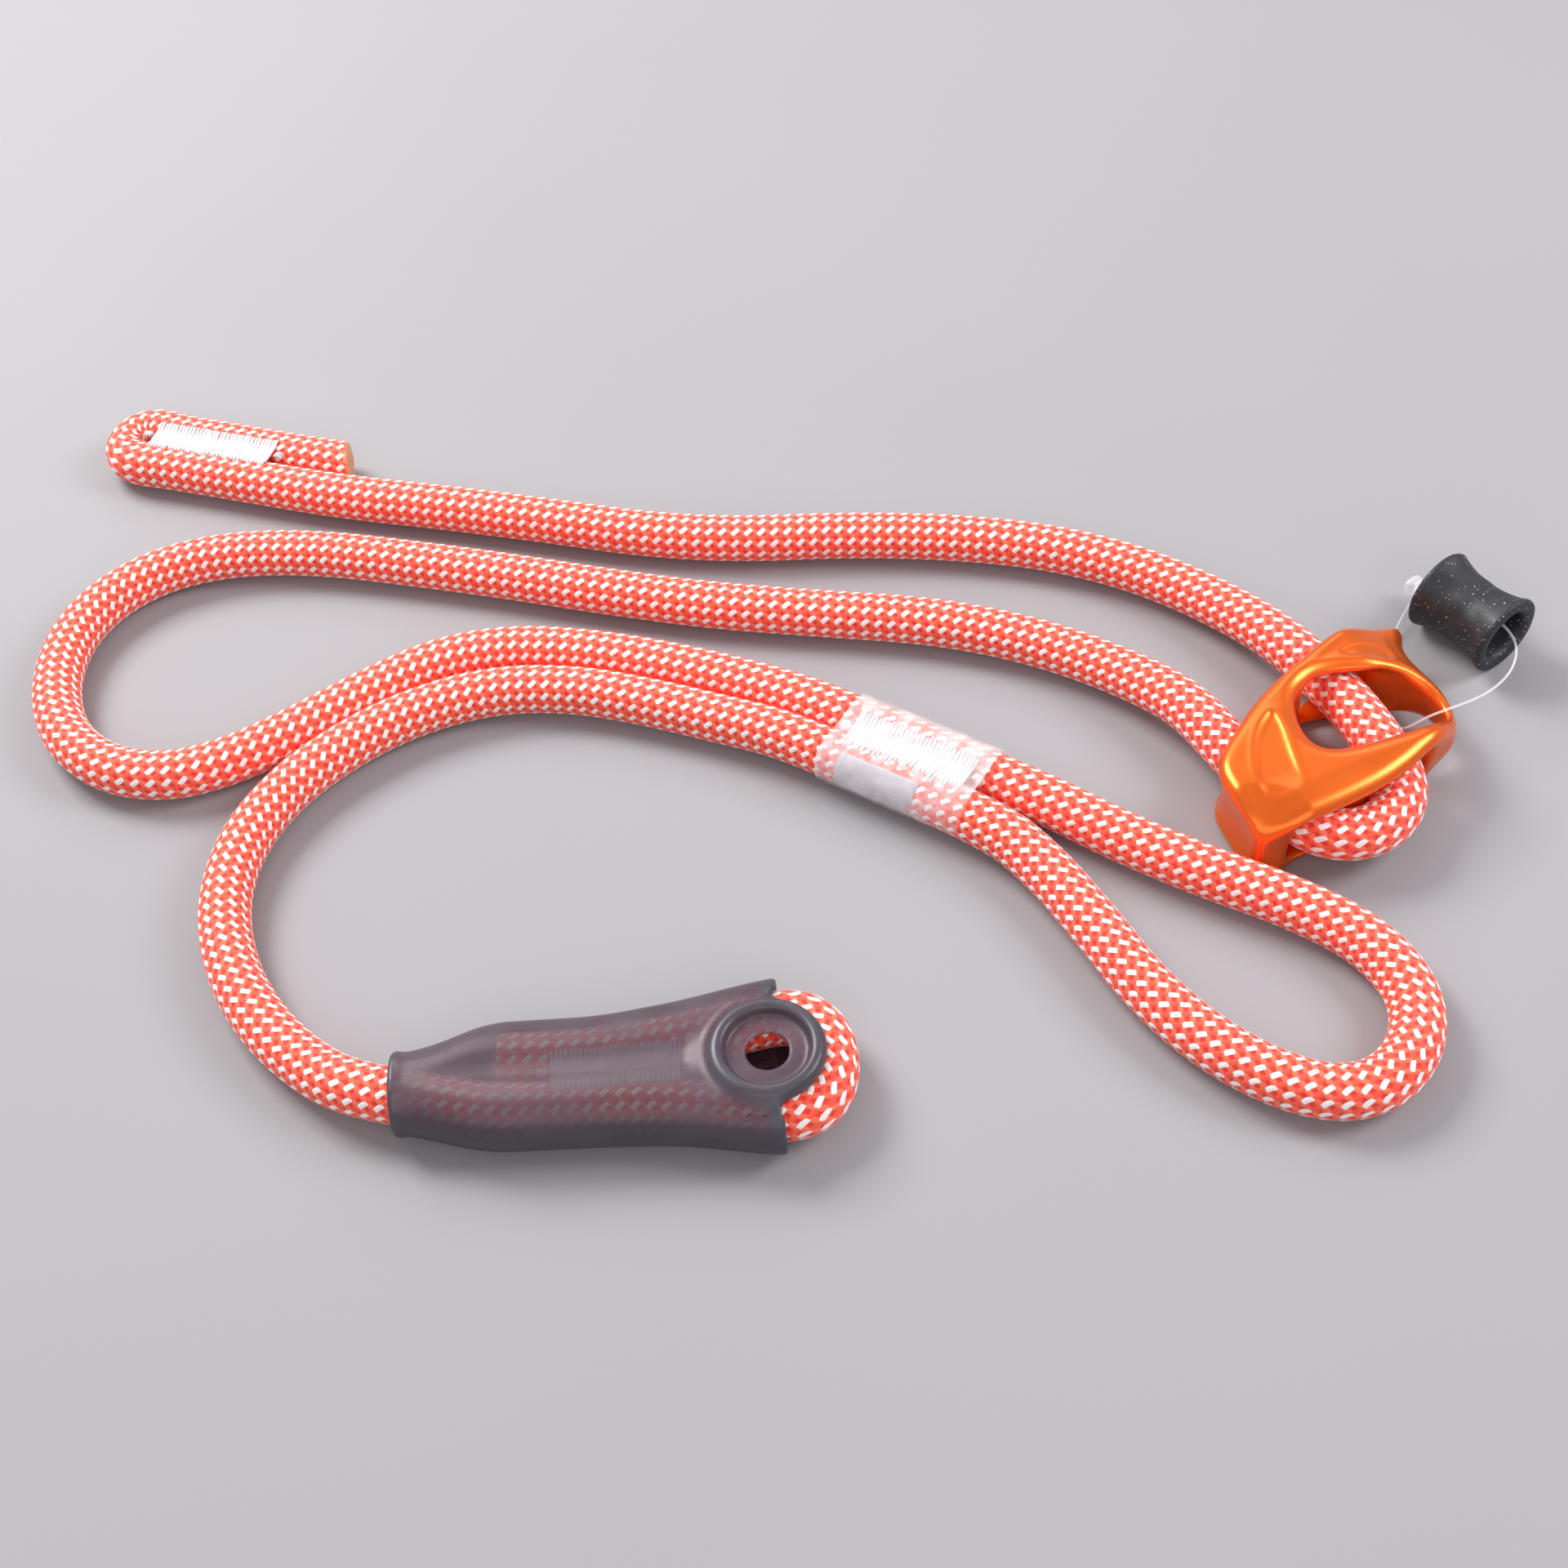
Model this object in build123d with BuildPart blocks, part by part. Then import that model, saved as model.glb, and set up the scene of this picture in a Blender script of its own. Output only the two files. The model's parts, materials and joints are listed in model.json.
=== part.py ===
"""Adjustable double lanyard: one 11 mm rope with a sewn harness eye, a fixed arm that ends in a
sewn eye under a moulded grip sleeve, and an adjustable arm held by a forged adjuster.

Millimetres, +Z up. The lanyard lies on the plane z = 0 with the origin under the middle of its box.
"""

import os
from math import cos, radians, sin, tan

from build123d import *

os.makedirs("parts", exist_ok=True)

# Rope
ROPE_R = 5.5
CORE_R = 4.3
REST_Z = ROPE_R
ARC_SHARE = 0.45
SEAL_THICKNESS = 0.8

# Shrink sleeve over the harness stitching
SHRINK_MIDDLE = (27.8, -23.3)
SHRINK_ANGLE = -34.5
SHRINK_LENGTH = 35
SHRINK_INNER_R = 5.75
SHRINK_OUTER_R = 6.4
SHRINK_Z = SHRINK_OUTER_R
STRAND_GAP = 11.2

# Stitching
THREAD_TOP = 5.7
THREAD_BOTTOM = 5.4

# Grip sleeve
SLEEVE_Z = 7.3
SLEEVE_OUTER_R = 7.3
SLEEVE_INNER_R = 5.75
SLEEVE_HOLE = (-7.2, -98.4)
SLEEVE_HOLE_R = 4.1
BOSS_R = 11
BOSS_RECESS_R = 8.2
BOSS_RISE = 1.2

# Adjuster: its own plane has +X across the two strands and +Y along them, away from the post
ADJUSTER_MIDDLE = (115.9, -38.7)
ADJUSTER_ANGLE = 21.5
ADJUSTER_HEIGHT = 18.4
ADJUSTER_FLOOR = 2.7
ADJUSTER_ROOF = 15.2
POST_R = 6.7
POST_Y = -1.8
NOSE_UNDERSIDE = 2.6
NOSE_LEFT = 22.6

# Connector retainer, a rubber spool that lies on its side
RETAINER_MIDDLE = (157, 6)
RETAINER_ANGLE = -55.8
RETAINER_LENGTH = 20.5
RETAINER_FLANGE_R = 9.5
RETAINER_WAIST_R = 7.7
RETAINER_BORE_R = 5.9
RETAINER_RIM = 1.2

# Tag loop of clear nylon and its lock head
NYLON_R = 0.45
LOCK_SIZE = (5, 4, 3.6)
LOCK_MIDDLE = (148.7, 18.6, 4.4)


def write(sub_part, name):
    """Label a finished sub-part and save it."""
    sub_part.part.label = name
    export_step(sub_part.part, f"parts/{name}.step")


def shifted(plane, x, y, z):
    """World coordinates of a point given in a plane's own axes."""
    return tuple(plane.from_local_coords(Vector(x, y, z)))


def halfway(a, b):
    """The point midway between two route points."""
    return tuple((p + q) / 2 for p, q in zip(a, b))


def corner_radii(points):
    """The largest tangent arc that each corner's two runs allow."""
    corners = [Vector(*point) for point in points]
    runs = [end - start for start, end in zip(corners, corners[1:])]
    return [
        ARC_SHARE * min(before.length, after.length) / tan(radians(before.get_angle(after)) / 2)
        for before, after in zip(runs, runs[1:])
    ]


def rope_tube(points, outer_r, inner_r=0):
    """A tube along straight runs joined by tangent arcs."""
    with BuildPart() as tube:
        with BuildLine() as path:
            FilletPolyline(*points, radius=corner_radii(points))
        with BuildSketch(Plane(path.line @ 0, z_dir=path.line % 0)):
            Circle(outer_r)
            if inner_r:
                Circle(inner_r, mode=Mode.SUBTRACT)
        sweep(path=path.line)
    return tube, sum(edge.length for edge in path.edges())


def rope_stretch(name, points):
    """One stretch of rope: braided sheath and core, each a node of its own."""
    sheath, length = rope_tube(points, ROPE_R, CORE_R)
    core, _ = rope_tube(points, CORE_R)
    write(sheath, f"{name}_sheath")
    write(core, f"{name}_core")
    radii = corner_radii(points)
    print(f"{name}: length {length:.1f}, smallest radius {min(radii):.1f}, of {len(radii)} corners")


def end_seal(name, end, before):
    """The melted cap on a cut rope end."""
    outward = Vector(*end) - Vector(*before)
    with BuildPart() as seal:
        with BuildSketch(Plane(end, z_dir=outward)):
            Circle(ROPE_R - 0.2)
        extrude(amount=SEAL_THICKNESS)
    write(seal, name)


def bar_tack(name, plane, length, width, strands):
    """Stitching that fills the valleys between two strands and lies just over their crowns."""
    rope = rope_tube(strands, ROPE_R)[0].part
    with BuildPart() as stitching:
        with BuildSketch(plane):
            with Locations((0, (THREAD_TOP - THREAD_BOTTOM) / 2)):
                Rectangle(width, THREAD_TOP + THREAD_BOTTOM)
        extrude(amount=length)
        add(rope, mode=Mode.SUBTRACT)
    write(stitching, name)


# ---- Rope routes: hand-chosen points, run by run ----

shrink_x = Vector(cos(radians(SHRINK_ANGLE)), sin(radians(SHRINK_ANGLE)), 0)
shrink_plane = Plane(
    Vector(*SHRINK_MIDDLE, SHRINK_Z) - shrink_x * (SHRINK_LENGTH / 2),
    x_dir=(-shrink_x.Y, shrink_x.X, 0),
    z_dir=shrink_x,
)
adjuster_plane = Plane(
    (*ADJUSTER_MIDDLE, 0),
    x_dir=(cos(radians(ADJUSTER_ANGLE)), sin(radians(ADJUSTER_ANGLE)), 0),
)

near_start = shifted(shrink_plane, -STRAND_GAP / 2, 0, 0)
far_start = shifted(shrink_plane, STRAND_GAP / 2, 0, 0)

fixed_eye = [
    (-80.5, -97.7, 7.3),
    (-70, -100.6, 7.3),
    (-59, -103.4, 7.3),
    (-45, -104, 7.3),
    (-30, -104.2, 7.3),
    (-16, -106.9, 7.3),
    (-1.4, -109.2, 7.3),
    (4.9, -103.3, 7.3),
    (4.9, -91.7, 7.3),
    (-1.4, -85.8, 7.3),
    (-16, -88.6, 7.3),
    (-30, -91.4, 7.3),
    (-45, -92.5, 7.3),
    (-59.5, -91.7, 7.3),
]

fixed_arm = [
    (-80.5, -97.7, 7.3),
    (-87.25, -95.836, 7.3),
    (-96.5, -89.8, 5.6),
    (-107, -79.3, REST_Z),
    (-115.5, -65, REST_Z),
    (-119.8, -48, REST_Z),
    (-118, -31, REST_Z),
    (-110.5, -16.8, REST_Z),
    (-98.5, -5, REST_Z),
    (-83, 4.4, REST_Z),
    (-65, 9.4, REST_Z),
    (-47, 8.2, REST_Z),
    (-29, 2.2, REST_Z),
    (-12, -5.2, REST_Z),
    shifted(shrink_plane, -STRAND_GAP / 2, 0, -12),
    near_start,
]

harness_eye = [
    near_start,
    shifted(shrink_plane, -STRAND_GAP / 2, 0, 39),
    (52.5, -52.5, 5.6),
    (61, -69, REST_Z),
    (69, -86.5, REST_Z),
    (80.5, -101.5, REST_Z),
    (95.5, -112, REST_Z),
    (108.5, -112.6, REST_Z),
    (118.3, -103.6, REST_Z),
    (120.8, -91, REST_Z),
    (114.5, -77.5, REST_Z),
    (101.5, -67, REST_Z),
    (85.5, -57.6, REST_Z),
    (69, -46.2, REST_Z),
    shifted(shrink_plane, STRAND_GAP / 2, 0, 45),
    far_start,
]

adjustable_arm = [
    far_start,
    shifted(shrink_plane, STRAND_GAP / 2, 0, -12),
    (-9, 6.6, REST_Z),
    (-26, 13.6, REST_Z),
    (-44, 19.3, REST_Z),
    (-61, 22.2, REST_Z),
    (-77, 20, REST_Z),
    (-92, 12.2, REST_Z),
    (-107, 2.6, REST_Z),
    (-121, -5.4, REST_Z),
    (-135.5, -9.4, REST_Z),
    (-150, -5.8, REST_Z),
    (-161, 4.8, REST_Z),
    (-165.8, 19, REST_Z),
    (-165.2, 35.5, REST_Z),
    (-158, 49, REST_Z),
    (-145, 58.2, REST_Z),
    (-128, 61.4, REST_Z),
    (-108, 59.4, REST_Z),
    (-86, 53.4, REST_Z),
    (-62, 46.2, REST_Z),
    (-38, 38.2, REST_Z),
    (-14, 31, REST_Z),
    (10, 25.8, REST_Z),
    (34, 21, REST_Z),
    (50, 15.6, REST_Z),
    (63, 9.4, REST_Z),
]

arm_lead = [
    (74.5, 1.6, 6),
    (84.5, -8, 7.6),
    shifted(adjuster_plane, -15.55, 31, 8.825),
    shifted(adjuster_plane, -15.2, 24, 9),
]

bight = [
    shifted(adjuster_plane, -15.2, 24, 9),
    shifted(adjuster_plane, -14.4, 8, 9.4),
    shifted(adjuster_plane, -12.8, -7.1, 8.8),
    shifted(adjuster_plane, -5.3, -14.6, 8.4),
    shifted(adjuster_plane, 5.3, -14.6, 8.4),
    shifted(adjuster_plane, 12.8, -7.1, 8.8),
    shifted(adjuster_plane, 14.6, 6, 9.3),
    shifted(adjuster_plane, 15.1, 20, 9.3),
    shifted(adjuster_plane, 13.9, 32, 9),
]

tail = [
    shifted(adjuster_plane, 13.9, 32, 9),
    shifted(adjuster_plane, 13.2, 39, 8.825),
    (107, 12.6, 7.2),
    (96, 24.4, 5.9),
    (82, 34.6, REST_Z),
    (64, 42.6, REST_Z),
    (42, 48, REST_Z),
    (18, 51.2, REST_Z),
    (-6, 52.4, REST_Z),
    (-29, 56.8, REST_Z),
    (-53, 64.6, REST_Z),
    (-78, 72, REST_Z),
    (-104, 79, REST_Z),
    (-128, 87.6, REST_Z),
    (-149, 95.5, REST_Z),
    (-159.6, 98.5, REST_Z),
    (-162.2, 103.6, REST_Z),
    (-160.2, 108.9, REST_Z),
    (-154.9, 111.1, REST_Z),
    (-144.9, 106.3, REST_Z),
    (-133.9, 102.3, REST_Z),
    (-122, 97.6, REST_Z),
    (-103.7, 91.1, REST_Z),
]

nylon = [
    (149.4, 17.2, 4.6),
    (152.4, 12.9, 5.2),
    (157, 6, 9.6),
    (161.6, -0.8, 13.2),
    (164.4, -7.6, 12.4),
    (161.2, -13.6, 10.8),
    (155.4, -18.4, 11),
    (148.5, -22.6, 15.6),
    (142.5, -25.8, 17.4),
    (137, -26.8, 15.2),
    (134.2, -25, 8),
    (133.4, -19.5, 1.9),
    (133.6, -11, 1.3),
    (137.6, 0, 1.3),
    (142, 9.4, 1.6),
    (145.6, 14.6, 3),
    (148.6, 17.6, 4.4),
]

# Stretches that would be too long for one solid, or that a joint divides, are cut mid-run
eye_split = halfway(fixed_eye[7], fixed_eye[8])
lead_split = halfway(adjustable_arm[-1], arm_lead[0])
fold_split = halfway(tail[12], tail[13])

rope_stretch("fixed_eye", fixed_eye[:8] + [eye_split])
rope_stretch("fixed_eye_return", [eye_split] + fixed_eye[8:])
rope_stretch("fixed_arm", fixed_arm)
rope_stretch("harness_eye", harness_eye)
rope_stretch("adjustable_arm", adjustable_arm + [lead_split])
rope_stretch("arm_lead", [lead_split] + arm_lead)
rope_stretch("adjuster_bight", bight)
rope_stretch("tail", tail[:13] + [fold_split])
rope_stretch("stopper", [fold_split] + tail[13:])
end_seal("fixed_eye_end_seal", fixed_eye[-1], fixed_eye[-2])
end_seal("tail_end_seal", tail[-1], tail[-2])

# ---- Stitching ----

bar_tack("harness_stitching", shrink_plane.offset(3), SHRINK_LENGTH - 5, 9, harness_eye)

eye_stitch_plane = Plane((-49, -98.25, SLEEVE_Z), x_dir=(0, 1, 0), z_dir=(1, 0, 0))
bar_tack("fixed_eye_stitching", eye_stitch_plane, 25, 10, fixed_eye)

fold_direction = Vector(*tail[13]) - Vector(*tail[14])
tail_stitch_plane = Plane(
    (-151, 102.4, REST_Z),
    x_dir=(-fold_direction.Y, fold_direction.X, 0),
    z_dir=fold_direction,
)
bar_tack("tail_stitching", tail_stitch_plane, 33, 8, tail)

# ---- Shrink sleeve and label ----

with BuildPart() as shrink_sleeve:
    with BuildSketch(shrink_plane):
        SlotCenterToCenter(STRAND_GAP, 2 * SHRINK_OUTER_R)
        SlotCenterToCenter(STRAND_GAP, 2 * SHRINK_INNER_R, mode=Mode.SUBTRACT)
    extrude(amount=SHRINK_LENGTH)
write(shrink_sleeve, "shrink_sleeve")

LABEL_LENGTH = 19
LABEL_OUTER_R = 5.7
LABEL_INNER_R = 5.54
LABEL_START = 105
LABEL_SWEEP = 110
with BuildPart() as id_label:
    with BuildSketch(shrink_plane.offset(1.5)):
        with BuildLine():
            strand = (-STRAND_GAP / 2, 0)
            outer = CenterArc(strand, LABEL_OUTER_R, LABEL_START, LABEL_SWEEP)
            inner = CenterArc(strand, LABEL_INNER_R, LABEL_START, LABEL_SWEEP)
            Line(outer @ 0, inner @ 0)
            Line(outer @ 1, inner @ 1)
        make_face()
    extrude(amount=LABEL_LENGTH)
write(id_label, "id_label")

# ---- Grip sleeve: slot-shaped sections from the round cuff to the open mouth ----

# x position, middle y and spread between the two strands' centres
SLEEVE_SECTIONS = [
    (-80.5, -97.8, 0.4),
    (-70, -98.3, 4.8),
    (-60, -97.6, 12),
    (-40, -98, 12.4),
    (-24, -97.5, 15.8),
    (-14, -97.5, 20.2),
    (-5.5, -97.5, 23.4),
]


sleeve_top = 2 * SLEEVE_OUTER_R
sleeve_wall = SLEEVE_OUTER_R - SLEEVE_INNER_R
with BuildPart() as grip_sleeve:
    for radius, mode in ((SLEEVE_OUTER_R, Mode.ADD), (SLEEVE_INNER_R, Mode.SUBTRACT)):
        for x, y, spread in SLEEVE_SECTIONS:
            with BuildSketch(Plane((x, y, SLEEVE_Z), x_dir=(0, 1, 0), z_dir=(1, 0, 0))):
                SlotCenterToCenter(spread, 2 * radius)
        loft(ruled=True, mode=mode)
    with BuildSketch(Plane.XY):
        with Locations(SLEEVE_HOLE):
            Circle(BOSS_R)
    extrude(amount=sleeve_wall)
    with BuildSketch(Plane.XY.offset(sleeve_top - sleeve_wall)):
        with Locations(SLEEVE_HOLE):
            Circle(BOSS_R)
    extrude(amount=sleeve_wall + BOSS_RISE)
    with BuildSketch(Plane.XY.offset(sleeve_top)):
        with Locations(SLEEVE_HOLE):
            Circle(BOSS_RECESS_R)
    extrude(amount=2 * BOSS_RISE, mode=Mode.SUBTRACT)
    with BuildSketch(Plane.XY):
        with Locations(SLEEVE_HOLE):
            Circle(SLEEVE_HOLE_R)
    extrude(amount=2 * sleeve_top, mode=Mode.SUBTRACT)
write(grip_sleeve, "grip_sleeve")

# ---- Adjuster body: two plates joined by walls, in the adjuster's own plane ----

OUTLINE = [
    (-25, -8.6),
    (-8, -10.6),
    (8, -9.6),
    (29, -4.2),
    (34.4, 6),
    (33.4, 18),
    (35.6, 28.6),
    (24, 31.4),
    (14, 29.4),
    (-8, 20.4),
    (-19.5, 13.4),
    (-25.6, 5.5),
]
OUTLINE_RADII = [2, 30, 40, 8, 12, 8, 1.5, 8, 20, 30, 15, 6]

CONNECTOR_OPENING = [(-1.4, 1.6), (29, -0.4), (29.8, 11), (23, 19.4), (10, 22.2), (-0.8, 19.6)]
OPENING_RADII = [4, 4, 7, 6, 8, 5]

SPINE = [(-6.7, -1.8), (6.7, -1.8), (-1.4, 3), (-1.4, 17.5), (6.2, 17.5), (6.2, 34), (-7.6, 34), (-7.2, 4)]
CORNER_WALL = [(-34, -14), (-19.2, -14), (-19.2, -4), (-21, 3), (-22.2, 12), (-34, 12)]
NOSE_WALL = [(20.6, -12), (40, -12), (40, 40), (21.9, 40), (21.9, 20.4), (26, 14), (26, -0.5), (20.6, -0.9)]

with BuildPart() as adjuster_body:
    with BuildSketch(adjuster_plane):
        with BuildLine():
            FilletPolyline(*OUTLINE, radius=OUTLINE_RADII, close=True)
        make_face()
    extrude(amount=ADJUSTER_HEIGHT)
    with BuildSketch(adjuster_plane.offset(ADJUSTER_FLOOR)):
        Rectangle(120, 120)
        with BuildLine():
            Polyline(*SPINE, close=True)
        make_face(mode=Mode.SUBTRACT)
        with Locations((0, POST_Y)):
            Circle(POST_R, mode=Mode.SUBTRACT)
        with BuildLine():
            Polyline(*CORNER_WALL, close=True)
        make_face(mode=Mode.SUBTRACT)
        with BuildLine():
            Polyline(*NOSE_WALL, close=True)
        make_face(mode=Mode.SUBTRACT)
    extrude(amount=ADJUSTER_ROOF - ADJUSTER_FLOOR, mode=Mode.SUBTRACT)
    with BuildSketch(adjuster_plane):
        with BuildLine():
            FilletPolyline(*CONNECTOR_OPENING, radius=OPENING_RADII, close=True)
        make_face()
    extrude(amount=ADJUSTER_HEIGHT, mode=Mode.SUBTRACT)
    with BuildSketch(adjuster_plane, adjuster_plane.offset(ADJUSTER_ROOF)):
        with Locations((NOSE_LEFT, 12)):
            Rectangle(30, 60, align=(Align.MIN, Align.CENTER))
    extrude(amount=NOSE_UNDERSIDE, mode=Mode.SUBTRACT)
    with BuildSketch(adjuster_plane.offset(ADJUSTER_ROOF)):
        with Locations((NOSE_LEFT, 12)):
            Rectangle(30, 60, align=(Align.MIN, Align.CENTER))
    extrude(amount=ADJUSTER_HEIGHT, mode=Mode.SUBTRACT)
write(adjuster_body, "adjuster_body")

# ---- Connector retainer ----

retainer_axis = Vector(cos(radians(RETAINER_ANGLE)), sin(radians(RETAINER_ANGLE)), 0)
retainer_plane = Plane((*RETAINER_MIDDLE, RETAINER_FLANGE_R), x_dir=retainer_axis, z_dir=(0, 0, 1))
half = RETAINER_LENGTH / 2
with BuildPart() as connector_retainer:
    with BuildSketch(retainer_plane):
        with BuildLine():
            Line((-half, RETAINER_BORE_R), (half, RETAINER_BORE_R))
            Line((half, RETAINER_BORE_R), (half, RETAINER_FLANGE_R - RETAINER_RIM))
            Line((half, RETAINER_FLANGE_R - RETAINER_RIM), (half - RETAINER_RIM, RETAINER_FLANGE_R))
            ThreePointArc(
                (half - RETAINER_RIM, RETAINER_FLANGE_R),
                (0, RETAINER_WAIST_R),
                (RETAINER_RIM - half, RETAINER_FLANGE_R),
            )
            Line((RETAINER_RIM - half, RETAINER_FLANGE_R), (-half, RETAINER_FLANGE_R - RETAINER_RIM))
            Line((-half, RETAINER_FLANGE_R - RETAINER_RIM), (-half, RETAINER_BORE_R))
        make_face()
    revolve(axis=Axis(retainer_plane.origin, retainer_axis))
write(connector_retainer, "connector_retainer")

# ---- Tag loop and lock ----

tag_loop, loop_length = rope_tube(nylon, NYLON_R)
write(tag_loop, "tag_loop")
print(f"tag loop: length {loop_length:.1f}, smallest radius {min(corner_radii(nylon)):.1f}")

lock_plane = Plane(LOCK_MIDDLE, x_dir=retainer_axis, z_dir=(0, 0, 1))
with BuildPart() as tag_lock:
    with BuildSketch(lock_plane.offset(-LOCK_SIZE[2] / 2)):
        RectangleRounded(LOCK_SIZE[0], LOCK_SIZE[1], 0.8)
    extrude(amount=LOCK_SIZE[2])
write(tag_lock, "tag_lock")
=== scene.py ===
"""Looks for the adjustable double lanyard: braided rope, forged adjuster, moulded sleeve and trims."""

import json
import math

import bpy
import numpy as np
from mathutils import Matrix, Vector


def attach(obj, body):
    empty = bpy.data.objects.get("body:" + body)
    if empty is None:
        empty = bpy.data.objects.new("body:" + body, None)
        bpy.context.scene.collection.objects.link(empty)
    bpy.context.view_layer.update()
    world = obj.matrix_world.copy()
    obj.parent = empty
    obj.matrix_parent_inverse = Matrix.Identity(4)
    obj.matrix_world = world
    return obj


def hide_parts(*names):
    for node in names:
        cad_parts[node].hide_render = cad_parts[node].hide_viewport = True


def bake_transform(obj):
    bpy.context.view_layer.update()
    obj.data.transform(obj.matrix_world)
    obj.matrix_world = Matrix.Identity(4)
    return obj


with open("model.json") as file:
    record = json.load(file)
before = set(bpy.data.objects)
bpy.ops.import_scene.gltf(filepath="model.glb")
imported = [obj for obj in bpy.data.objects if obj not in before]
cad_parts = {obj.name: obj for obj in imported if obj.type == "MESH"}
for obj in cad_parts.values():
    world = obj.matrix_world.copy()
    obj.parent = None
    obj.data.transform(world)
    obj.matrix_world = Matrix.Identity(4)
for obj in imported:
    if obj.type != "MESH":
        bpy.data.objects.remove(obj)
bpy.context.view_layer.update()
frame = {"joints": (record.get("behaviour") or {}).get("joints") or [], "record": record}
mounts = {mount["name"]: mount for mount in frame["record"]["mounts"]}
joints = {joint["name"]: joint for joint in frame["joints"]}

# Sizes and places are written in millimetres, and MM turns them into metres.
MM = 0.001
rng = np.random.default_rng(7)


# ---------------------------------------------------------------- camera

CAMERA_PLACE = (0, -0.321, 0.3581)
CAMERA_TILT = math.radians(40)
CAMERA_ROLL = math.radians(-4.5)

camera_data = bpy.data.cameras.new("camera")
camera_data.lens = 48.75
camera_data.sensor_width = 36
camera_data.clip_start = 0.01
camera = bpy.data.objects.new("camera", camera_data)
bpy.context.collection.objects.link(camera)
camera.matrix_world = (
    Matrix.Translation(CAMERA_PLACE)
    @ Matrix.Rotation(CAMERA_TILT, 4, "X")
    @ Matrix.Rotation(CAMERA_ROLL, 4, "Z")
)
bpy.context.scene.camera = camera

# ---------------------------------------------------------------- routes, in millimetres

ROPE_R = 5.5
SHRINK_MIDDLE = Vector((27.8, -23.3, 6.4))
SHRINK_LENGTH = 35
SHRINK_X = Vector((math.cos(math.radians(-34.5)), math.sin(math.radians(-34.5)), 0))
SHRINK_Y = Vector((-SHRINK_X.y, SHRINK_X.x, 0))
STRAND_GAP = 11.2
ADJUSTER_MIDDLE = Vector((115.9, -38.7, 0))
ADJUSTER_ANGLE = math.radians(21.5)


def in_shrink(side, along):
    """A point on one of the two strands held by the shrink sleeve."""
    start = SHRINK_MIDDLE - SHRINK_X * SHRINK_LENGTH / 2
    return tuple(start + SHRINK_Y * side * STRAND_GAP / 2 + SHRINK_X * along)


def in_adjuster(x, y, z):
    """A point given in the adjuster's own axes."""
    turned = Matrix.Rotation(ADJUSTER_ANGLE, 3, "Z") @ Vector((x, y, 0))
    return tuple(ADJUSTER_MIDDLE + turned + Vector((0, 0, z)))


FIXED_EYE = [
    (-80.5, -97.7, 7.3), (-70, -100.6, 7.3), (-59, -103.4, 7.3), (-45, -104, 7.3), (-30, -104.2, 7.3),
    (-16, -106.9, 7.3), (-1.4, -109.2, 7.3), (4.9, -103.3, 7.3), (4.9, -91.7, 7.3), (-1.4, -85.8, 7.3),
    (-16, -88.6, 7.3), (-30, -91.4, 7.3), (-45, -92.5, 7.3), (-59.5, -91.7, 7.3),
]
FIXED_ARM = [
    in_shrink(-1, 0), in_shrink(-1, -12), (-12, -5.2, 5.5), (-29, 2.2, 5.5), (-47, 8.2, 5.5),
    (-65, 9.4, 5.5), (-83, 4.4, 5.5), (-98.5, -5, 5.5), (-110.5, -16.8, 5.5), (-118, -31, 5.5),
    (-119.8, -48, 5.5), (-115.5, -65, 5.5), (-107, -79.3, 5.5), (-96.5, -89.8, 5.6),
    (-87.25, -95.836, 7.3),
]
HARNESS_EYE = [
    in_shrink(-1, 0), in_shrink(-1, 39), (52.5, -52.5, 5.6), (61, -69, 5.5), (69, -86.5, 5.5),
    (80.5, -101.5, 5.5), (95.5, -112, 5.5), (108.5, -112.6, 5.5), (118.3, -103.6, 5.5),
    (120.8, -91, 5.5), (114.5, -77.5, 5.5), (101.5, -67, 5.5), (85.5, -57.6, 5.5), (69, -46.2, 5.5),
    in_shrink(1, 45), in_shrink(1, 0),
]
ADJUSTABLE_ARM = [
    in_shrink(1, 0), in_shrink(1, -12), (-9, 6.6, 5.5), (-26, 13.6, 5.5), (-44, 19.3, 5.5),
    (-61, 22.2, 5.5), (-77, 20, 5.5), (-92, 12.2, 5.5), (-107, 2.6, 5.5), (-121, -5.4, 5.5),
    (-135.5, -9.4, 5.5), (-150, -5.8, 5.5), (-161, 4.8, 5.5), (-165.8, 19, 5.5), (-165.2, 35.5, 5.5),
    (-158, 49, 5.5), (-145, 58.2, 5.5), (-128, 61.4, 5.5), (-108, 59.4, 5.5), (-86, 53.4, 5.5),
    (-62, 46.2, 5.5), (-38, 38.2, 5.5), (-14, 31, 5.5), (10, 25.8, 5.5), (34, 21, 5.5),
    (50, 15.6, 5.5), (63, 9.4, 5.5), (74.5, 1.6, 6), (84.5, -8, 7.6),
    in_adjuster(-15.55, 31, 8.825), in_adjuster(-15.2, 24, 9),
]
BIGHT = [
    in_adjuster(-15.2, 24, 9), in_adjuster(-14.4, 8, 9.4), in_adjuster(-12.8, -7.1, 8.8),
    in_adjuster(-5.3, -14.6, 8.4), in_adjuster(5.3, -14.6, 8.4), in_adjuster(12.8, -7.1, 8.8),
    in_adjuster(14.6, 6, 9.3), in_adjuster(15.1, 20, 9.3), in_adjuster(13.9, 32, 9),
]
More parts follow.
